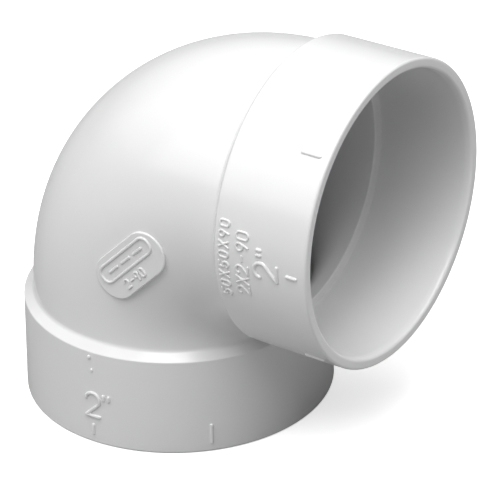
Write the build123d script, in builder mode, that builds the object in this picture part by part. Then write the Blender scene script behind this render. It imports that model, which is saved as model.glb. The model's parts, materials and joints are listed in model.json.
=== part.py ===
from build123d import *
import os
from math import atan2, cos, degrees, hypot, radians, sin, sqrt

# Ninety-degree PVC elbow with two glue sockets for 2 in (50.8 mm) thin-wall tube.
# Millimetres, +Z up. Origin: centre of the lower mouth. The lower socket opens down, the side
# socket opens along +X. The moulding is symmetric about the planes y = 0 and x + z = centre_height.

# Tube and sockets
socket_radius = 25.5            # takes a 50.8 mm tube
socket_depth = 18.5             # mouth to tube stop
bore_radius = 24.0              # waterway through the bend
stop_slope = 0.45               # the stop face leans this far over its width
stop_seat = 0.9                 # width of the stop ring at its back

# Outside
hub_radius = 27.6               # at the mouth
shoulder_radius = 27.4          # the hub draws in a little towards the bend
hub_length = 18.3               # mouth to shoulder edge
shoulder_length = 1.25          # conical shoulder, hub down to its foot
foot_radius = 25.9              # the foot flares out from the bend
bend_outer_radius = 25.6
rim_round = 0.3

# Bend
centre_height = 45.7            # mouth plane to the other socket's axis
bend_radius = 25.0              # centreline
web_inset = 0.25                # the crotch web stays this far inside the hubs' edges
web_half_width = 7.0
web_depth = 4.0

# Raised marks on the hubs
mark_height = 0.35
legend_height = 0.25
numeral_cap = 4.6
numeral_stroke = 0.7
legend_stroke = 0.32
tick_width = 0.7
tick_step = 45.0                # between neighbouring ticks, degrees
tick_near = 1.6                 # distance of a tick's ends from the mouth
tick_far = 5.7
short_tick_far = 4.0            # the tick beside a size numeral
numeral_turn = -89.0            # place of the size numeral round the lower hub

# Badge on the flank of the bend: flat, parallel to the parting plane
pad_length = 17.2
pad_width = 8.3
pad_height = 0.3                # above the flank's crest
pad_sunk = 2.0                  # drawn this deep into the wall before the wall is taken away
pad_from_bend_centre = 23.3
frame_length = 14.3
frame_width = 3.7
frame_line = 0.6
frame_rise = 1.25               # frame's centre line above the pad's
digits_drop = 2.15              # digits' centre line below the pad's
digits_cap = 1.6
digits_pitch = 1.5
badge_text = "2-90"
badge_mark_height = 0.35

# Worked out
arc_start = centre_height - bend_radius     # where the hub ends and the bend begins
foot = hub_length + shoulder_length

os.makedirs("parts", exist_ok=True)

mirror_plane = Plane(
    origin=(centre_height / 2, 0, centre_height / 2), x_dir=(0, 1, 0), z_dir=(1, 0, 1)
)
bend_axis = Axis((bend_radius, 0, arc_start), (0, 1, 0))


def save(part, name):
    part.label = name
    export_step(part, "parts/" + name + ".step")
    print(name, "solids", len(part.solids()), "volume", round(part.volume, 1))


def to_side(part):
    """The same feature on the side socket: mirrored in the plane x + z = centre_height."""
    return mirror(part, about=mirror_plane)


def hub_core(grown):
    """The lower hub's outer form as a plain solid, grown outwards."""
    with BuildPart() as core:
        with BuildSketch(Plane.XZ):
            with BuildLine():
                Polyline(
                    (0, 0),
                    (hub_radius + grown, 0),
                    (shoulder_radius + grown, hub_length),
                    (foot_radius + grown, foot),
                    (bend_outer_radius + grown, arc_start),
                    (0, arc_start),
                    close=True,
                )
            make_face()
        revolve(axis=Axis.Z)
    return core.part


def bend_core(radius):
    """The bend as a plain solid of one section radius, from one hub's end to the other's."""
    with BuildPart() as core:
        with BuildSketch(Plane.XY.offset(arc_start)):
            Circle(radius)
            with Locations((bend_radius + radius, 0)):
                Rectangle(2 * radius, 3 * radius, mode=Mode.SUBTRACT)
        revolve(axis=bend_axis, revolution_arc=90)
    return core.part


def lower_face(turn, height):
    """A plane on the lower hub's wall. Text on it reads level, with its top up."""
    across = radians(turn)
    radius = hub_radius - height * (hub_radius - shoulder_radius) / hub_length
    return Plane(
        origin=(radius * cos(across), radius * sin(across), height),
        x_dir=(-sin(across), cos(across), 0),
        z_dir=(cos(across), sin(across), 0),
    )


def side_face(turn, from_mouth):
    """A plane on the side hub's wall, turned from -Y towards +Z. Text on it reads upwards."""
    across = radians(turn)
    radius = hub_radius - from_mouth * (hub_radius - shoulder_radius) / hub_length
    return Plane(
        origin=(centre_height - from_mouth, -radius * cos(across), centre_height + radius * sin(across)),
        x_dir=(0, sin(across), cos(across)),
        z_dir=(0, -cos(across), sin(across)),
    )


def line_stroke(cap, stroke, start, end):
    """A straight stroke with round ends. Its ends are shares of the character's height."""
    run = (end[0] - start[0], end[1] - start[1])
    with Locations((cap * (start[0] + end[0]) / 2, cap * (start[1] + end[1]) / 2)):
        SlotCenterToCenter(cap * hypot(*run), stroke, rotation=degrees(atan2(run[1], run[0])))


def arc_stroke(cap, stroke, middle, radius, start_angle, end_angle):
    """A curved stroke with round ends."""
    centre = Plane((cap * middle[0], cap * middle[1], 0))
    SlotArc(Edge.make_circle(cap * radius, centre, start_angle, end_angle), stroke)


def character(letter, cap, stroke):
    """A plain single-stroke character, centred, for the sketch that is open."""
    pen = (cap, stroke)
    if letter == "2":
        arc_stroke(*pen, (0, 0.2), 0.3, -40, 170)
        line_stroke(*pen, (0.23, 0.01), (-0.3, -0.5))
        line_stroke(*pen, (-0.3, -0.5), (0.3, -0.5))
    elif letter == "5":
        line_stroke(*pen, (-0.24, 0.5), (0.26, 0.5))
        line_stroke(*pen, (-0.24, 0.5), (-0.26, 0.02))
        arc_stroke(*pen, (-0.02, -0.2), 0.3, -150, 137)
    elif letter == "9":
        arc_stroke(*pen, (0, 0.22), 0.28, 0, 180)
        arc_stroke(*pen, (0, 0.22), 0.28, 180, 360)
        line_stroke(*pen, (0.28, 0.22), (0.05, -0.5))
    elif letter == "0":
        arc_stroke(*pen, (0, 0.22), 0.28, 0, 180)
        arc_stroke(*pen, (0, -0.22), 0.28, 180, 360)
        line_stroke(*pen, (-0.28, -0.22), (-0.28, 0.22))
        line_stroke(*pen, (0.28, -0.22), (0.28, 0.22))
    elif letter == "X":
        line_stroke(*pen, (-0.28, -0.5), (0.28, 0.5))
        line_stroke(*pen, (-0.28, 0.5), (0.28, -0.5))
    elif letter == "-":
        line_stroke(*pen, (-0.2, 0), (0.2, 0))


def glyph(plane, letter, cap, stroke):
    """One raised character as a prism through the wall's surface."""
    with BuildPart() as prism:
        with BuildSketch(plane.offset(-1)):
            character(letter, cap, stroke)
        extrude(amount=2)
    return prism.part


def bar(plane, along, across):
    """A raised bar with round ends, long the plane's Y way."""
    with BuildPart() as prism:
        with BuildSketch(plane.offset(-1)):
            SlotOverall(along, across, rotation=90)
        extrude(amount=2)
    return prism.part


def raised(prisms, skin):
    """What the prisms share with a thin skin over the wall: marks that stand on the surface."""
    with BuildPart() as marks:
        add(prisms)
        add(skin, mode=Mode.INTERSECT)
    return marks.part


# Lower hub: the socket wall, its mouth and its shoulder. At the crotch the hubs meet on the plane
# x + z = centre_height.
with BuildPart() as lower_hub:
    with BuildSketch(Plane.XZ):
        with BuildLine():
            Polyline(
                (socket_radius, 0),
                (hub_radius, 0),
                (shoulder_radius, hub_length),
                (foot_radius, foot),
                (bend_outer_radius, arc_start),
                (bore_radius + stop_seat, arc_start),
                (socket_radius, socket_depth),
                close=True,
            )
        make_face()
    revolve(axis=Axis.Z)
    mouth_circles = lower_hub.edges().filter_by(GeomType.CIRCLE).group_by(Axis.Z)[0]
    fillet(mouth_circles.sort_by(SortBy.RADIUS)[-1], rim_round)
    split(bisect_by=mirror_plane, keep=Keep.BOTTOM)
save(lower_hub.part, "lower_hub")

# Lower tube stop: the ring that the tube's end meets
with BuildPart() as lower_tube_stop:
    with BuildSketch(Plane.XZ):
        with BuildLine():
            Polyline(
                (socket_radius, socket_depth),
                (bore_radius + stop_seat, arc_start),
                (bore_radius, arc_start),
                (bore_radius, socket_depth + stop_slope),
                close=True,
            )
        make_face()
    revolve(axis=Axis.Z)
save(lower_tube_stop.part, "lower_tube_stop")

side_hub = to_side(lower_hub.part)
save(side_hub, "side_hub")
side_tube_stop = to_side(lower_tube_stop.part)
save(side_tube_stop, "side_tube_stop")

# Bend wall, in two halves that meet on the plane x + z = centre_height
bend_wall = bend_core(bend_outer_radius) - bend_core(bore_radius)
with BuildPart() as bend_lower_half:
    add(bend_wall)
    split(bisect_by=mirror_plane, keep=Keep.BOTTOM)
save(bend_lower_half.part, "bend_lower_half")
with BuildPart() as bend_upper_half:
    add(bend_wall)
    split(bisect_by=mirror_plane, keep=Keep.TOP)
save(bend_upper_half.part, "bend_upper_half")

# Crotch web: fills the narrow wedge between the two shoulders, inside the corner of the bend.
# Its sketch lies on the mirror plane: X runs along the object's Y, and Y in towards the bend.
web_plane = Plane(origin=(shoulder_radius, 0, hub_length), x_dir=(0, 1, 0), z_dir=(1, 0, 1))
edge_drop = (shoulder_radius - sqrt(shoulder_radius**2 - web_half_width**2)) / sqrt(2)
with BuildPart() as web_plate:
    with BuildSketch(web_plane):
        with BuildLine():
            web_end = edge_drop + web_inset
            ThreePointArc((-web_half_width, web_end), (0, web_inset), (web_half_width, web_end))
            Polyline(
                (web_half_width, web_end),
                (web_half_width, web_depth),
                (-web_half_width, web_depth),
                (-web_half_width, web_end),
            )
        make_face()
    extrude(amount=web_depth / 2, both=True)
solid_inside = [hub_core(0), to_side(hub_core(0)), bend_core(bend_outer_radius)]
crotch_web = web_plate.part - solid_inside
save(crotch_web, "crotch_web")

# Size marks: a raised 2 with inch marks on each hub
lower_skin = hub_core(mark_height) - hub_core(0)
side_skin = to_side(lower_skin)
lower_size = [glyph(lower_face(numeral_turn, 7.8), "2", numeral_cap, numeral_stroke)]
for turn in (numeral_turn + 4.6, numeral_turn + 6.8):
    lower_size.append(bar(lower_face(turn, 9.6), 1.4, numeral_stroke))
save(raised(lower_size, lower_skin), "lower_size_mark")

side_size = [glyph(side_face(-0.7, 8.05), "2", numeral_cap, numeral_stroke)]
for turn in (5.0, 7.0):
    side_size.append(bar(side_face(turn, 9.4), 1.3, numeral_stroke))
save(raised(side_size, side_skin), "side_size_mark")


# Alignment ticks on the numbered flank: a short one at the size numeral, long ones a step away
def tick_group(face, skin, numeral_place, steps):
    bars = []
    for step in steps:
        far = tick_far if step else short_tick_far
        place = face(numeral_place + step * tick_step, (tick_near + far) / 2)
        bars.append(bar(place, far - tick_near, tick_width))
    return raised(bars, skin)


save(tick_group(lower_face, lower_skin, numeral_turn, (0, 1)), "lower_tick_marks")
save(tick_group(side_face, side_skin, 0, (-1, 0, 1)), "side_tick_marks")

# Two small witness marks above the lower numeral
witness = [bar(lower_face(numeral_turn - 1, 17.2), 0.9, 0.7), bar(lower_face(numeral_turn, 14.7), 0.8, 0.6)]
save(raised(witness, lower_skin), "lower_witness_marks")


# Side legend: two rows of plain size words that read upwards round the hub
def legend_row(text, from_mouth, cap, first, last):
    skin = to_side(hub_core(legend_height) - hub_core(0))
    letters = []
    for index, letter in enumerate(text):
        if letter != " ":
            turn = first + (last - first) * index / (len(text) - 1)
            letters.append(glyph(side_face(turn, from_mouth), letter, cap, legend_stroke))
    return raised(letters, skin)


save(legend_row("50X50X90", 16.5, 1.9, -14.6, 13.2), "side_legend_inner_row")
save(legend_row("2X2-90", 12.8, 2.4, -11.4, 10.4), "side_legend_outer_row")

# Badge: a raised flat pad on the bend's flank, with a plain frame, three bars and a bend size
pad_middle = pad_from_bend_centre / sqrt(2)
badge_plane = Plane(
    origin=(bend_radius - pad_middle, -bend_outer_radius - pad_height, arc_start + pad_middle),
    x_dir=(1, 0, 1),
    z_dir=(0, -1, 0),
)

with BuildPart() as badge_pad:
    with BuildSketch(badge_plane):
        SlotOverall(pad_length, pad_width)
    extrude(amount=-pad_sunk)
    add(bend_core(bend_outer_radius), mode=Mode.SUBTRACT)
save(badge_pad.part, "badge_pad")

with BuildPart() as badge_frame:
    with BuildSketch(badge_plane):
        with Locations((0, frame_rise)):
            RectangleRounded(frame_length, frame_width, frame_width / 2.2)
            inner_width = frame_width - 2 * frame_line
            RectangleRounded(
                frame_length - 2 * frame_line, inner_width, inner_width / 2.2, mode=Mode.SUBTRACT
            )
    extrude(amount=badge_mark_height)
save(badge_frame.part, "badge_frame")

with BuildPart() as badge_bars:
    with BuildSketch(badge_plane):
        with Locations((0, frame_rise)):
            with GridLocations(frame_length / 4, 0, 3, 1):
                SlotOverall(frame_length / 5, frame_line)
    extrude(amount=badge_mark_height)
save(badge_bars.part, "badge_bars")

with BuildPart() as badge_digits:
    with BuildSketch(badge_plane):
        for index, letter in enumerate(badge_text):
            with Locations((digits_pitch * (index - len(badge_text) / 2), -digits_drop)):
                character(letter, digits_cap, legend_stroke)
    extrude(amount=badge_mark_height)
save(badge_digits.part, "badge_digits")
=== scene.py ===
import json
from math import cos, hypot, pi, radians, sin, sqrt

import bmesh
import bpy
from mathutils import Matrix, Vector


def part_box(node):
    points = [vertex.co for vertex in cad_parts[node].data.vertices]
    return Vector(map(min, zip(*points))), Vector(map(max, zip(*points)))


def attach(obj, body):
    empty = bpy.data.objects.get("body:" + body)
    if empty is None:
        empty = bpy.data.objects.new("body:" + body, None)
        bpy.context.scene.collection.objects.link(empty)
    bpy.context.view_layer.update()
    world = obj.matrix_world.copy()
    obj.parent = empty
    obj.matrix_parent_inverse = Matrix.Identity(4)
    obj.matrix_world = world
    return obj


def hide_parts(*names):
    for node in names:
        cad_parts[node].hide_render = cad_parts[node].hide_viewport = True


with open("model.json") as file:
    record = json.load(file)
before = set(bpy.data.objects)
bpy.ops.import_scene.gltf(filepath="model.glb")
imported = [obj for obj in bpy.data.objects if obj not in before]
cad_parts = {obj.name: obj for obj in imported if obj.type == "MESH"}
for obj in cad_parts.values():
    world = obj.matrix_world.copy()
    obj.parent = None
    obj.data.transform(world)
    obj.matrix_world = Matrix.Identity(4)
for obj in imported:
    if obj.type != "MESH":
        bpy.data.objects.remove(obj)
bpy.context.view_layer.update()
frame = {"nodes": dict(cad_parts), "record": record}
scene = bpy.context.scene
mm = 0.001

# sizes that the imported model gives: the lower socket opens down at the origin, the side one along +X
mounts = {m["name"]: m for m in frame["record"]["mounts"]}
centreHeight = mounts["side_socket"]["pos_m"][0]
socketRadius = mounts["lower_socket"]["dims"]["r_mm"] * mm
socketDepth = mounts["lower_socket"]["dims"]["length_mm"] * mm
hubRadius = -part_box("lower_hub")[0].x
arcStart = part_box("lower_hub")[1].z          # hub ends, bend begins
bendRadius = centreHeight - arcStart
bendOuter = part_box("bend_lower_half")[1].y
bendWall = 1.6 * mm                          # between the bend's outside and the waterway
boreRadius = bendOuter - bendWall

roundness = 256                              # points round every ring of the walls
smoothAngle = 30                             # degrees, sharper edges than this stay crisp
tiny = 0.001 * mm
ringGap = 5 * tiny                           # how near a point must be to count as on a ring
mergeGap = tiny / 10                         # points nearer than this become one

middle = Vector((centreHeight / 2, 0, centreHeight / 2))        # between the two mouths

# the side hub is the lower one mirrored in the plane x + z = centreHeight
toSide = Matrix((
    (0, 0, -1, centreHeight),
    (0, 1, 0, 0),
    (-1, 0, 0, centreHeight),
    (0, 0, 0, 1),
))


def clearAll():
    if bpy.context.mode != "OBJECT":
        bpy.ops.object.mode_set(mode="OBJECT")
    bpy.ops.object.select_all(action="DESELECT")


def named(name):
    piece = bpy.context.object
    piece.name = name
    piece.data.name = name
    return piece


def choose(piece, kind, test):
    # in edit mode: select the verts, edges or faces that pass the test, and nothing else
    bpy.ops.mesh.select_all(action="DESELECT")
    shape = bmesh.from_edit_mesh(piece.data)
    bpy.ops.mesh.select_mode(type={"verts": "VERT", "edges": "EDGE", "faces": "FACE"}[kind])
    for item in getattr(shape, kind):
        if test(item):
            item.select_set(True)
    shape.select_flush_mode()
    bmesh.update_edit_mesh(piece.data)


def outwards():
    bpy.ops.mesh.select_all(action="SELECT")
    bpy.ops.mesh.normals_make_consistent(inside=False)


def finishShape(piece, weighted=False):
    clearAll()
    piece.select_set(True)
    bpy.context.view_layer.objects.active = piece
    bpy.ops.object.shade_smooth_by_angle(angle=radians(smoothAngle))
    if weighted:
        bpy.ops.object.modifier_add(type="WEIGHTED_NORMAL")
        piece.modifiers[-1].keep_sharp = True
        bpy.ops.object.modifier_apply(modifier=piece.modifiers[-1].name)


def sideCopy(piece, name, weighted=False):
    clearAll()
    piece.select_set(True)
    bpy.context.view_layer.objects.active = piece
    bpy.ops.object.duplicate()
    copy = named(name)
    copy.matrix_world = toSide
    bpy.ops.object.transform_apply(location=True, rotation=True, scale=True)
    bpy.ops.object.mode_set(mode="EDIT")
    outwards()
    finishShape(copy, weighted)
    return copy


def joinAs(pieces, name):
    clearAll()
    for piece in pieces:
        piece.select_set(True)
    bpy.context.view_layer.objects.active = pieces[0]
    bpy.ops.object.join()
    return named(name)


def place(piece, node, slotName):
    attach(piece, "root")
    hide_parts(node)


# turned pieces: hubs and tube stops

def atRing(radius, height):
    def test(edge):
        return all(
            abs(hypot(v.co.x, v.co.y) - radius) < ringGap and abs(v.co.z - height) < ringGap
            for v in edge.verts
        )
    return test


def turned(outline, name):
    # a closed outline of (radius, height) points, drawn ring by ring round the Z axis
    clearAll()
    radius, height = outline[0]
    bpy.ops.mesh.primitive_circle_add(vertices=roundness, radius=radius, location=(0, 0, height))
    bpy.ops.object.transform_apply(location=True, rotation=True, scale=True)
    piece = named(name)
    bpy.ops.object.mode_set(mode="EDIT")
    bpy.ops.mesh.select_all(action="SELECT")
    for nextRadius, nextHeight in outline[1:]:
        bpy.ops.mesh.extrude_region_move(TRANSFORM_OT_translate={"value": (0, 0, nextHeight - height)})
        grow = nextRadius / radius
        bpy.ops.transform.resize(value=(grow, grow, 1), center_override=(0, 0, nextHeight))
        radius, height = nextRadius, nextHeight
    choose(piece, "edges", lambda edge: edge.is_boundary)
    bpy.ops.mesh.bridge_edge_loops()
    outwards()
    return piece


def roundRing(piece, radius, height, size, steps):
    choose(piece, "edges", atRing(radius, height))
    bpy.ops.mesh.bevel(offset=size, segments=steps, affect="EDGES")


hubShape = {
    "shoulderRadius": 27.4 * mm,
    "hubLength": 18.3 * mm,
    "footHeight": 19.65 * mm,      # where the shoulder's cone meets the bend
    "seatRadius": 24.9 * mm,       # hub and tube stop meet on a cone down to here
    "leadIn": 0.22 * mm,           # flare of the mouth
    "leadInDepth": 1.3 * mm,
    "stopSlope": 0.45 * mm,
    # rounded rings: the size of the round and the steps across it
    "rimRound": (0.45 * mm, 5),
    "mouthRound": (0.45 * mm, 4),
    "leadInRound": (0.3 * mm, 3),
    "shoulderRound": (0.16 * mm, 3),
    "footRound": (0.45 * mm, 5),
    "stopRound": (0.2 * mm, 4),
}


def makeHub(s):
    mouthRadius = socketRadius + s["leadIn"]
    hub = turned(
        [
            (hubRadius, 0),
            (s["shoulderRadius"], s["hubLength"]),
            (bendOuter, s["footHeight"]),
            (bendOuter, arcStart),
            (s["seatRadius"], arcStart),
            (socketRadius, socketDepth),
            (socketRadius, s["leadInDepth"]),
            (mouthRadius, 0),
        ],
        "lower_hub_shell",
    )
    roundRing(hub, bendOuter, s["footHeight"], *s["footRound"])
    roundRing(hub, s["shoulderRadius"], s["hubLength"], *s["shoulderRound"])
    roundRing(hub, socketRadius, s["leadInDepth"], *s["leadInRound"])
    roundRing(hub, mouthRadius, 0, *s["mouthRound"])
    roundRing(hub, hubRadius, 0, *s["rimRound"])
    bpy.ops.mesh.select_all(action="SELECT")           # the two hubs meet on the mirror plane
    bpy.ops.mesh.bisect(
        plane_co=middle,
        plane_no=(1, 0, 1),
        use_fill=True,
        clear_outer=True,
        threshold=tiny,
    )
    outwards()
    finishShape(hub, True)
    return hub


def makeStop(s):
    stop = turned(
        [
            (socketRadius, socketDepth),
            (s["seatRadius"], arcStart),
            (boreRadius, arcStart),
            (boreRadius, socketDepth + s["stopSlope"]),
        ],
        "lower_tube_stop_ring",
    )
    roundRing(stop, boreRadius, socketDepth + s["stopSlope"], *s["stopRound"])
    outwards()
    finishShape(stop, True)
    return stop


lowerHub = makeHub(hubShape)
sideHub = sideCopy(lowerHub, "side_hub_shell", True)
lowerStop = makeStop(hubShape)
sideStop = sideCopy(lowerStop, "side_tube_stop_ring", True)
print("hubs and tube stops made")


# the bend is spun in two halves
bendShape = {
    "steps": 60,                     # over each half
    "seamTurn": 0.03,                # first and last step, so thin that the ends shade straight, degrees
    "innerFlat": 0.1 * mm,           # the inside of the bend stays this far off the axis it is spun round
}


def makeBendHalf(s):
    clearAll()
    bpy.ops.mesh.primitive_circle_add(vertices=roundness, radius=bendOuter, location=(0, 0, arcStart))
    bpy.ops.object.transform_apply(location=True, rotation=True, scale=True)
    half = named("bend_lower_shell")
    bpy.ops.object.mode_set(mode="EDIT")
    limit = bendRadius - s["innerFlat"]
    choose(half, "verts", lambda v: v.co.x > limit)
    bpy.ops.transform.resize(value=(0, 1, 1), center_override=(limit, 0, arcStart))
    bpy.ops.mesh.select_all(action="DESELECT")
    bpy.ops.mesh.primitive_circle_add(vertices=roundness, radius=boreRadius, location=(0, 0, arcStart))
    bpy.ops.mesh.select_all(action="SELECT")
    bpy.ops.mesh.bridge_edge_loops()
    bpy.ops.mesh.select_all(action="SELECT")
    seam = radians(s["seamTurn"])
    for turn, steps in ((seam, 1), (pi / 4 - 2 * seam, s["steps"]), (seam, 1)):
        bpy.ops.mesh.spin(
            steps=steps,
            angle=-turn,
            center=(bendRadius, 0, arcStart),
            axis=(0, 1, 0),
            use_auto_merge=False,
        )
    bpy.ops.mesh.select_all(action="SELECT")
    bpy.ops.mesh.remove_doubles(threshold=mergeGap)
    outwards()
    finishShape(half)
    return half


lowerBend = makeBendHalf(bendShape)
upperBend = sideCopy(lowerBend, "bend_upper_shell")
print("bend made")


# raised marks are round strokes half sunk in the wall
markShape = {
    "capHeight": 4.6 * mm,
    "numeralStroke": 0.7 * mm,
    "legendStroke": 0.42 * mm,
    "legendLift": 0.06 * mm,         # middle of a legend stroke above the wall
    "tickWidth": 0.7 * mm,
    "tickNear": 1.6 * mm,            # ends of a tick, from the mouth
    "tickFar": 5.7 * mm,
    "shortTickFar": 4.0 * mm,
    "tickStep": 45,                  # between neighbouring ticks, degrees
    "strokeSides": 3,                # detail of a stroke's round section
    "endDetail": 2,                  # detail of a stroke's round ends
    "numeralCells": 14,              # skin cells across a stroke, more is finer
    "tickCells": 12,
    "legendCells": 8,
    "witnessCell": 0.05 * mm,
    "softness": 0.5,                 # strength of each smoothing pass over the melted skin
    "softPasses": 4,
    "legendSoftPasses": 3,
}


def wallRadius(fromMouth):
    return hubRadius + (hubShape["shoulderRadius"] - hubRadius) * fromMouth / hubShape["hubLength"]


def lowerWall(turn, fromMouth):
    # maps a flat drawing, right and up, onto the lower hub round this place
    def onto(x, y, out=0.0):
        radius = wallRadius(fromMouth + y)
        angle = radians(turn) + x / radius
        return Vector(((radius + out) * cos(angle), (radius + out) * sin(angle), fromMouth + y))
    return onto


def sideWall(turn, fromMouth):
    # the same on the side hub, where a drawing's right is upwards and its top is towards the bend
    def onto(x, y, out=0.0):
        radius = wallRadius(fromMouth + y)
        angle = radians(turn) + x / radius
        across, up = -(radius + out) * cos(angle), (radius + out) * sin(angle)
        return Vector((centreHeight - fromMouth - y, across, centreHeight + up))
    return onto


def straight(start, end, count=9):
    return [
        tuple(a + (b - a) * i / (count - 1) for a, b in zip(start, end))
        for i in range(count)
    ]


def arc(centre, radius, start, end, count=25):
    turns = [radians(start + (end - start) * i / (count - 1)) for i in range(count)]
    return [(centre[0] + radius * cos(t), centre[1] + radius * sin(t)) for t in turns]


# strokes of each character, in parts of its height, from its middle
characters = {
    "2": [
        arc((0, 0.2), 0.3, 170, -40),
        straight((0.23, 0.01), (-0.3, -0.5)),
        straight((-0.3, -0.5), (0.3, -0.5)),
    ],
    "5": [
        straight((-0.24, 0.5), (0.26, 0.5)),
        straight((-0.24, 0.5), (-0.26, 0.02)),
        arc((-0.02, -0.2), 0.3, 137, -150),
    ],
    "9": [arc((0, 0.22), 0.28, 0, 360), straight((0.28, 0.22), (0.05, -0.5))],
    "0": [arc((0, 0.22), 0.28, 0, 180) + arc((0, -0.22), 0.28, 180, 360) + [(0.28, 0.22)]],
    "X": [straight((-0.28, -0.5), (0.28, 0.5)), straight((-0.28, 0.5), (0.28, -0.5))],
    "-": [straight((-0.2, 0), (0.2, 0))],
}


def bead(path, radius):
    # a round stroke with round ends along a path
    clearAll()
    line = bpy.data.curves.new("stroke", "CURVE")
    line.dimensions = "3D"
    spline = line.splines.new("POLY")
    spline.points.add(len(path) - 1)
    for point, at in zip(spline.points, path):
        point.co = (*at, 1)
    line.bevel_depth = radius
    line.bevel_resolution = markShape["strokeSides"]
    line.use_fill_caps = True
    stroke = bpy.data.objects.new("stroke", line)
    scene.collection.objects.link(stroke)
    stroke.select_set(True)
    bpy.context.view_layer.objects.active = stroke
    bpy.ops.object.convert(target="MESH")
    parts = [bpy.context.object]
    detail = markShape["endDetail"]
    for at in (path[0], path[-1]):
        bpy.ops.mesh.primitive_ico_sphere_add(subdivisions=detail, radius=radius, location=at)
        parts.append(bpy.context.object)
    return parts


def meltTogether(parts, name, voxel, passes=markShape["softPasses"]):
    # joined strokes become one clean skin with soft corners
    piece = joinAs(parts, name)
    bpy.ops.object.transform_apply(location=True, rotation=True, scale=True)
    bpy.ops.object.modifier_add(type="REMESH")
    piece.modifiers[-1].mode = "VOXEL"
    piece.modifiers[-1].voxel_size = voxel
    piece.modifiers[-1].use_smooth_shade = True
    bpy.ops.object.modifier_apply(modifier=piece.modifiers[-1].name)
    bpy.ops.object.modifier_add(type="SMOOTH")
    piece.modifiers[-1].factor = markShape["softness"]
    piece.modifiers[-1].iterations = passes
    bpy.ops.object.modifier_apply(modifier=piece.modifiers[-1].name)
    return piece


def writeCharacter(onto, letter, height, stroke, out=0.0):
    parts = []
    for path in characters[letter]:
        parts += bead([onto(x * height, y * height, out) for x, y in path], stroke / 2)
    return parts


def bar(onto, length, width):
    reach = max(length - width, tiny) / 2
    return bead([onto(0, y) for y in (-reach, 0, reach)], width / 2)


def sizeMark(wall, numeral, name):
    s = markShape
    onto = wall(numeral["turn"], numeral["fromMouth"])
    parts = writeCharacter(onto, "2", s["capHeight"], s["numeralStroke"])
    for turn in numeral["inchTurns"]:
        parts += bar(wall(turn, numeral["inchFrom"]), numeral["inchLength"], s["numeralStroke"])
    return meltTogether(parts, name, s["numeralStroke"] / s["numeralCells"])


def tickGroup(wall, numeralTurn, steps, name):
    # a short tick beside the size numeral, long ones a step away
    s = markShape
    parts = []
    for step in steps:
        far = s["tickFar"] if step else s["shortTickFar"]
        onto = wall(numeralTurn + step * s["tickStep"], (s["tickNear"] + far) / 2)
        parts += bar(onto, far - s["tickNear"], s["tickWidth"])
    return meltTogether(parts, name, s["tickWidth"] / s["tickCells"])


def witnessDots(marks, name):
    parts = []
    for mark in marks:
        parts += bar(lowerWall(mark["turn"], mark["fromMouth"]), mark["length"], mark["width"])
    return meltTogether(parts, name, markShape["witnessCell"])


def legendRow(row, name):
    s = markShape
    parts = []
    for index, letter in enumerate(row["words"]):
        turn = row["first"] + (row["last"] - row["first"]) * index / (len(row["words"]) - 1)
        onto = sideWall(turn, row["fromMouth"])
        parts += writeCharacter(onto, letter, row["height"], s["legendStroke"], s["legendLift"])
    return meltTogether(parts, name, s["legendStroke"] / s["legendCells"], s["legendSoftPasses"])


# each mark's place: degrees round its hub, and the distance from the mouth
lowerNumeral = {
    "turn": -89.0,
    "fromMouth": 7.8 * mm,
    "inchTurns": (-84.4, -82.2),
    "inchFrom": 9.6 * mm,
    "inchLength": 1.4 * mm,
}
sideNumeral = {
    "turn": -0.7,
    "fromMouth": 8.05 * mm,
    "inchTurns": (5.0, 7.0),
    "inchFrom": 9.4 * mm,
    "inchLength": 1.3 * mm,
}
witnessMarks = [
    {"turn": -90.0, "fromMouth": 17.2 * mm, "length": 0.9 * mm, "width": 0.7 * mm},
    {"turn": -89.0, "fromMouth": 14.7 * mm, "length": 0.8 * mm, "width": 0.6 * mm},
]
innerRow = {
    "words": "50X50X90",
    "fromMouth": 16.5 * mm,
    "height": 1.9 * mm,
    "first": -14.6,                  # turns of the first and the last character
    "last": 13.2,
}
outerRow = {
    "words": "2X2-90",
    "fromMouth": 12.8 * mm,
    "height": 2.4 * mm,
    "first": -11.4,
    "last": 10.4,
}

lowerSize = sizeMark(lowerWall, lowerNumeral, "lower_size_numeral")
sideSize = sizeMark(sideWall, sideNumeral, "side_size_numeral")
lowerTicks = tickGroup(lowerWall, lowerNumeral["turn"], (0, 1), "lower_ticks")
sideTicks = tickGroup(sideWall, 0, (-1, 0, 1), "side_ticks")
lowerWitness = witnessDots(witnessMarks, "lower_witness_dots")
innerLegend = legendRow(innerRow, "side_legend_inner")
outerLegend = legendRow(outerRow, "side_legend_outer")
print("hub marks made")


# badge: a flat raised pad on the flank, with frame, bars and a bend size
badgeShape = {
    "length": 17.2 * mm,
    "width": 8.3 * mm,
    "height": 0.3 * mm,              # above the flank's crest
    "sunk": 1.3 * mm,                # hidden root in the wall
    "edgeRound": 0.22 * mm,
    "edgeSteps": 4,
    "edgePoints": 96,                # round both ends of the pad together
    "fromBendCentre": 23.3 * mm,
    "frameLength": 14.3 * mm,
    "frameWidth": 3.7 * mm,
    "frameLine": 0.6 * mm,
    "frameCorner": 2.2,              # width of the outline over the radius of its corners
    "cornerPoints": 9,
    "frameRise": 1.25 * mm,
    "barLength": 2.86 * mm,
    "barStep": 3.575 * mm,
    "digitsDrop": 2.15 * mm,
    "digitsHeight": 1.6 * mm,
    "digitsStep": 1.5 * mm,
    "digits": "2-90",
    "cells": 12,                     # skin cells across the outline's line
}
padMiddle = badgeShape["fromBendCentre"] / sqrt(2)
padTop = bendOuter + badgeShape["height"]
along, over = Vector((1, 0, 1)) / sqrt(2), Vector((-1, 0, 1)) / sqrt(2)
padPlace = Vector((bendRadius - padMiddle, -padTop, arcStart + padMiddle))


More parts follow.
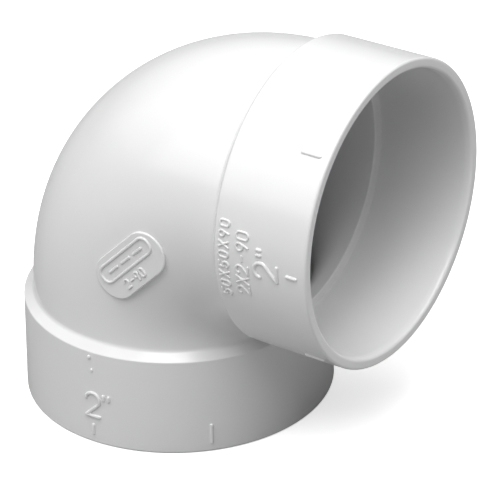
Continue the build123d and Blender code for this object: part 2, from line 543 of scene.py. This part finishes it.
def onPad(shiftX, shiftY):
    # maps a flat drawing onto the pad, this far from its middle
    def onto(x, y, out=0.0):
        return padPlace + along * (x + shiftX) + over * (y + shiftY) + Vector((0, -out, 0))
    return onto


def makePad(s):
    clearAll()
    bpy.ops.mesh.primitive_circle_add(vertices=s["edgePoints"], radius=s["width"] / 2, fill_type="NGON")
    pad = named("badge_plate")
    bpy.ops.object.mode_set(mode="EDIT")
    stretch = (s["length"] - s["width"]) / 2
    for side in (1, -1):
        choose(pad, "verts", lambda v: v.co.x * side > tiny)
        bpy.ops.transform.translate(value=(side * stretch, 0, 0))
    bpy.ops.mesh.select_all(action="SELECT")
    bpy.ops.mesh.extrude_region_move(TRANSFORM_OT_translate={"value": (0, 0, -s["height"] - s["sunk"])})
    choose(pad, "edges", lambda e: all(abs(v.co.z) < tiny for v in e.verts))
    bpy.ops.mesh.bevel(offset=s["edgeRound"], segments=s["edgeSteps"], affect="EDGES")
    outwards()
    bpy.ops.object.mode_set(mode="OBJECT")
    facing = Vector((0, -1, 0))
    pad.matrix_world = Matrix.Translation(padPlace) @ Matrix((along, over, facing)).transposed().to_4x4()
    bpy.ops.object.transform_apply(location=True, rotation=True, scale=True)
    finishShape(pad, True)
    return pad


def makeFrame(s):
    line = s["frameLine"]
    length, width = s["frameLength"] - line, s["frameWidth"] - line
    corner = width / s["frameCorner"]
    path = []
    for index, (sideX, sideY) in enumerate(((1, 1), (-1, 1), (-1, -1), (1, -1))):
        centre = (sideX * (length / 2 - corner), sideY * (width / 2 - corner))
        path += arc(centre, corner, 90 * index, 90 * index + 90, s["cornerPoints"])
    onto = onPad(0, s["frameRise"])
    strokes = bead([onto(x, y) for x, y in path + path[:1]], line / 2)
    return meltTogether(strokes, "badge_outline", line / s["cells"])


def makeBars(s):
    parts = []
    reach = (s["barLength"] - s["frameLine"]) / 2
    for index in (-1, 0, 1):
        onto = onPad(index * s["barStep"], s["frameRise"])
        parts += bead([onto(x, 0) for x in (-reach, 0, reach)], s["frameLine"] / 2)
    return meltTogether(parts, "badge_stripes", s["frameLine"] / s["cells"])


def makeDigits(s, marks):
    parts = []
    for index, letter in enumerate(s["digits"]):
        onto = onPad(s["digitsStep"] * (index - len(s["digits"]) / 2), -s["digitsDrop"])
        parts += writeCharacter(onto, letter, s["digitsHeight"], marks["legendStroke"], marks["legendLift"])
    cell = marks["legendStroke"] / marks["legendCells"]
    return meltTogether(parts, "badge_figures", cell, marks["legendSoftPasses"])


badgePad = makePad(badgeShape)
badgeFrame = makeFrame(badgeShape)
badgeBars = makeBars(badgeShape)
badgeDigits = makeDigits(badgeShape, markShape)
print("badge made")


plasticLook = {
    "tone": (0.80, 0.80, 0.80, 1),
    "shade": (0.77, 0.77, 0.775, 1),
    "roughLow": 0.16,
    "roughHigh": 0.24,
    "flowScale": 70,                 # broad waves of the moulding flow, per metre
    "grainScale": 1400,
    "flowHeight": 0.02 * mm,
    "grainHeight": 0.0006 * mm,
    "flowDetail": 1.5,
    "flowSwirl": 0.6,
    "grainDetail": 3,
    "ior": 1.5,
}
markLook = {**plasticLook, "flowHeight": 0.004 * mm, "roughHigh": 0.2}


def makeSkinGroup(look):
    # broad flow waves and a fine skin grain, shared by the wall and the raised marks
    group = bpy.data.node_groups.new("mouldedSkin", "ShaderNodeTree")
    for name in ("Flow Scale", "Grain Scale", "Grain Share"):
        group.interface.new_socket(name, in_out="INPUT", socket_type="NodeSocketFloat")
    for name in ("Flow", "Grain", "Height"):
        group.interface.new_socket(name, in_out="OUTPUT", socket_type="NodeSocketFloat")
    nodes, links = group.nodes, group.links
    given = nodes.new("NodeGroupInput")
    out = nodes.new("NodeGroupOutput")
    where = nodes.new("ShaderNodeTexCoord")
    flow = nodes.new("ShaderNodeTexNoise")
    flow.inputs["Detail"].default_value = look["flowDetail"]
    flow.inputs["Distortion"].default_value = look["flowSwirl"]
    grain = nodes.new("ShaderNodeTexNoise")
    grain.inputs["Detail"].default_value = look["grainDetail"]
    mixHeight = nodes.new("ShaderNodeMath")
    mixHeight.operation = "MULTIPLY_ADD"
    links.new(where.outputs["Object"], flow.inputs["Vector"])
    links.new(where.outputs["Object"], grain.inputs["Vector"])
    links.new(given.outputs["Flow Scale"], flow.inputs["Scale"])
    links.new(given.outputs["Grain Scale"], grain.inputs["Scale"])
    links.new(grain.outputs["Fac"], mixHeight.inputs[0])
    links.new(given.outputs["Grain Share"], mixHeight.inputs[1])
    links.new(flow.outputs["Fac"], mixHeight.inputs[2])
    links.new(flow.outputs["Fac"], out.inputs["Flow"])
    links.new(grain.outputs["Fac"], out.inputs["Grain"])
    links.new(mixHeight.outputs[0], out.inputs["Height"])
    return group


skinGroup = makeSkinGroup(plasticLook)


def makePlastic(name, look):
    material = bpy.data.materials.new(name)
    material.use_nodes = True
    nodes, links = material.node_tree.nodes, material.node_tree.links
    shader = nodes["Principled BSDF"]
    shader.inputs["IOR"].default_value = look["ior"]
    skin = nodes.new("ShaderNodeGroup")
    skin.node_tree = skinGroup
    skin.inputs["Flow Scale"].default_value = look["flowScale"]
    skin.inputs["Grain Scale"].default_value = look["grainScale"]
    skin.inputs["Grain Share"].default_value = look["grainHeight"] / look["flowHeight"]
    colour = nodes.new("ShaderNodeMix")
    colour.data_type = "RGBA"
    colour.inputs["A"].default_value = look["shade"]
    colour.inputs["B"].default_value = look["tone"]
    rough = nodes.new("ShaderNodeMapRange")
    rough.inputs["To Min"].default_value = look["roughLow"]
    rough.inputs["To Max"].default_value = look["roughHigh"]
    bump = nodes.new("ShaderNodeBump")
    bump.inputs["Strength"].default_value = 1
    bump.inputs["Distance"].default_value = look["flowHeight"]
    links.new(skin.outputs["Flow"], colour.inputs["Factor"])
    links.new(skin.outputs["Grain"], rough.inputs["Value"])
    links.new(skin.outputs["Height"], bump.inputs["Height"])
    links.new(colour.outputs["Result"], shader.inputs["Base Color"])
    links.new(rough.outputs["Result"], shader.inputs["Roughness"])
    links.new(bump.outputs["Normal"], shader.inputs["Normal"])
    return material


whitePvc = makePlastic("glossyWhitePvc", plasticLook)
markPvc = makePlastic("raisedWhitePvc", markLook)
print("materials made")


# every piece rides on the one body and stands for its node
placings = [
    (lowerHub, "lower_hub", "white_pvc"),
    (sideHub, "side_hub", "white_pvc"),
    (lowerStop, "lower_tube_stop", "white_pvc"),
    (sideStop, "side_tube_stop", "white_pvc"),
    (lowerBend, "bend_lower_half", "white_pvc"),
    (upperBend, "bend_upper_half", "white_pvc"),
    (badgePad, "badge_pad", "raised_marks"),
    (badgeFrame, "badge_frame", "raised_marks"),
    (badgeBars, "badge_bars", "raised_marks"),
    (badgeDigits, "badge_digits", "raised_marks"),
    (lowerSize, "lower_size_mark", "raised_marks"),
    (sideSize, "side_size_mark", "raised_marks"),
    (lowerTicks, "lower_tick_marks", "raised_marks"),
    (sideTicks, "side_tick_marks", "raised_marks"),
    (lowerWitness, "lower_witness_marks", "raised_marks"),
    (innerLegend, "side_legend_inner_row", "raised_marks"),
    (outerLegend, "side_legend_outer_row", "raised_marks"),
]
for piece, node, slotName in placings:
    piece.data.materials.clear()
    piece.data.materials.append(whitePvc if slotName == "white_pvc" else markPvc)
    place(piece, node, slotName)
web = frame["nodes"]["crotch_web"]
web.material_slots[0].material = whitePvc
print("pieces placed:", len(placings))


stageLook = {
    "floorSize": 8,
    "floorGap": 0.02 * mm,                  # below the lower mouth
    "floorRough": 0.9,
    "floorTone": (0.9, 0.9, 0.9, 1),
    "floorBounce": (0.35, 0.35, 0.35, 1),   # what the fitting receives back from the floor
    "floorLift": 0.62,                      # glow that keeps the floor pale in the shade
    "worldTone": (1, 1, 1, 1),
    "worldStrength": 0.04,
}
clearAll()
bpy.ops.mesh.primitive_plane_add(size=stageLook["floorSize"], location=(0, 0, -stageLook["floorGap"]))
floor = named("studio_floor")


def makeFloorPaint(look):
    # pale to the camera, darker to the light that it sends back
    paint = bpy.data.materials.new("paleFloor")
    paint.use_nodes = True
    nodes, links = paint.node_tree.nodes, paint.node_tree.links
    shader = nodes["Principled BSDF"]
    shader.inputs["Roughness"].default_value = look["floorRough"]
    shader.inputs["Specular IOR Level"].default_value = 0
    shader.inputs["Emission Color"].default_value = look["floorTone"]
    seen = nodes.new("ShaderNodeLightPath")
    tone = nodes.new("ShaderNodeMix")
    tone.data_type = "RGBA"
    tone.inputs["A"].default_value = look["floorBounce"]
    tone.inputs["B"].default_value = look["floorTone"]
    lift = nodes.new("ShaderNodeMath")
    lift.operation = "MULTIPLY"
    lift.inputs[1].default_value = look["floorLift"]
    links.new(seen.outputs["Is Camera Ray"], tone.inputs["Factor"])
    links.new(tone.outputs["Result"], shader.inputs["Base Color"])
    links.new(seen.outputs["Is Camera Ray"], lift.inputs[0])
    links.new(lift.outputs[0], shader.inputs["Emission Strength"])
    return paint


floor.data.materials.append(makeFloorPaint(stageLook))

cameraSet = {
    "azimuth": 34.477,
    "elevation": 29.227,
    "roll": -1.523,
    "distance": 0.8137,
    "lens": 334.07,
    "right": -6.021 * mm,            # the aim, from the middle between the two mouths
    "up": 8.072 * mm,
    "filmWidth": 36,
    "clip": (0.05, 20),
}


def makeCamera(s):
    azimuth, elevation, roll = (radians(s[key]) for key in ("azimuth", "elevation", "roll"))
    back = Vector((sin(azimuth) * cos(elevation), -cos(azimuth) * cos(elevation), sin(elevation)))
    level = Vector((0, 0, 1)).cross(back).normalized()
    upright = back.cross(level)
    right = cos(roll) * level + sin(roll) * upright
    up = cos(roll) * upright - sin(roll) * level
    aim = middle + s["right"] * right + s["up"] * up
    data = bpy.data.cameras.new("studioCamera")
    data.sensor_width = s["filmWidth"]
    data.lens = s["lens"]
    data.clip_start, data.clip_end = s["clip"]
    camera = bpy.data.objects.new("studioCamera", data)
    scene.collection.objects.link(camera)
    turn = Matrix((right, up, back)).transposed()
    camera.matrix_world = Matrix.Translation(aim + s["distance"] * back) @ turn.to_4x4()
    scene.camera = camera


makeCamera(cameraSet)

# soft panels round the fitting: turn from +X and elevation in degrees, power in watts
lights = {
    "overhead": {"turn": 0, "elevation": 90, "power": 10},
    "front": {"turn": -60, "elevation": 60, "power": 12.5},
    "frontLeft": {"turn": -110, "elevation": 60, "power": 4},
    "rearRight": {"turn": 30, "elevation": 60, "power": 5.8},
    "lowLeft": {"turn": -130, "elevation": 30, "power": 4.8},
    "lowFarLeft": {"turn": -170, "elevation": 30, "power": 1.4},
    "lowRearRight": {"turn": 40, "elevation": 30, "power": 1.2},
    "intoMouth": {"turn": 0, "elevation": 30, "power": 0.8},
}
panelSize = 0.9
panelDistance = 1.5


def makeLight(name, s):
    data = bpy.data.lights.new(name, "AREA")
    data.shape = "SQUARE"
    data.size = panelSize
    data.energy = s["power"]
    lamp = bpy.data.objects.new(name, data)
    scene.collection.objects.link(lamp)
    turn, elevation = radians(s["turn"]), radians(s["elevation"])
    towards = Vector((cos(elevation) * cos(turn), cos(elevation) * sin(turn), sin(elevation)))
    lamp.location = middle + panelDistance * towards
    lamp.rotation_euler = (-towards).to_track_quat("-Z", "Y").to_euler()


for name, settings in lights.items():
    makeLight(name, settings)

world = bpy.data.worlds.new("studioAir")
world.use_nodes = True
scene.world = world
sky = world.node_tree.nodes["Background"]
sky.inputs["Color"].default_value = stageLook["worldTone"]
sky.inputs["Strength"].default_value = stageLook["worldStrength"]
scene.view_settings.view_transform = "Standard"
print("stage made")
